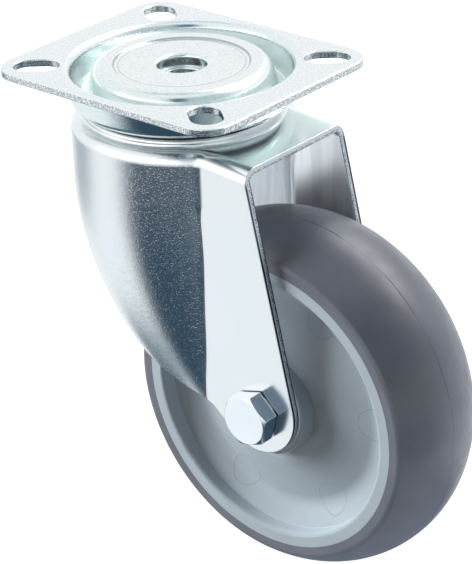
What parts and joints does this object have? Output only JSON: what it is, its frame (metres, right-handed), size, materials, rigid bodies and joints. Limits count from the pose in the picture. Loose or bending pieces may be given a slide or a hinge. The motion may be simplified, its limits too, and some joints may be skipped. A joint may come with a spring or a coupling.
{
  "type": "swivel castor",
  "caption": "Swivel castor with a slotted rectangular top plate, pressed steel fork turning on a double ball race, and a soft grey tread wheel on a roller bearing.",
  "frame": {"origin": "centre of the top plate's mounting face, on the swivel axis", "axes": "+Z out of the mounting face, along the swivel axis; +X from the swivel axis towards the axle; the axle runs along Y with the bolt head at -Y"},
  "size_m": [0.128, 0.067, 0.1338],
  "materials": {
    "zinc_plate": "bright zinc plate",
    "zinc_fork": "bright zinc plate",
    "zinc_fastener": "bright zinc plate",
    "bearing_steel": "polished",
    "bearing_plastic": "moulded",
    "seal": "ribbed",
    "wheel_core": "satin moulded",
    "tread": "satin moulded"
  },
  "bodies": {
    "plate": {"top_plate": "zinc_plate", "king_pin": "zinc_plate", "lower_race_cup": "zinc_plate"},
    "fork": {"fork": "zinc_fork", "dust_seal": "seal", "axle_bolt": "zinc_fastener", "axle_nut": "zinc_fastener", "nut_lock_ring": "bearing_plastic", "nut_washer": "zinc_fastener", "axle_tube": "bearing_steel", "near_hub_washer": "bearing_plastic", "far_hub_washer": "bearing_plastic"},
    "wheel": {"wheel_core": "wheel_core", "tread": "tread"},
    "upper_race": {"upper_balls": "bearing_steel", "upper_ball_cage": "bearing_plastic"},
    "lower_race": {"lower_balls": "bearing_steel", "lower_ball_cage": "bearing_plastic"},
    "roller_set": {"roller_cage": "bearing_plastic", "bearing_rollers": "bearing_steel"}
  },
  "joints": [
    {"name": "swivel", "type": "hinge", "parent": "plate", "child": "fork", "pos_m": [0, 0, 0], "axis": [0, 0, 1], "continuous": true},
    {"name": "wheel_spin", "type": "hinge", "parent": "fork", "child": "wheel", "pos_m": [0.0395, 0, -0.0838], "axis": [0, 1, 0], "continuous": true},
    {"name": "upper_race_turn", "type": "hinge", "parent": "plate", "child": "upper_race", "pos_m": [0, 0, 0], "axis": [0, 0, 1], "continuous": true},
    {"name": "lower_race_turn", "type": "hinge", "parent": "plate", "child": "lower_race", "pos_m": [0, 0, 0], "axis": [0, 0, 1], "continuous": true},
    {"name": "roller_set_turn", "type": "hinge", "parent": "fork", "child": "roller_set", "pos_m": [0.0395, 0, -0.0838], "axis": [0, 1, 0], "continuous": true}
  ],
  "couplings": [
    {"joint": "upper_race_turn", "follows": "swivel", "ratio": 0.5},
    {"joint": "lower_race_turn", "follows": "swivel", "ratio": 0.5},
    {"joint": "roller_set_turn", "follows": "wheel_spin", "ratio": 0.6178}
  ]
}
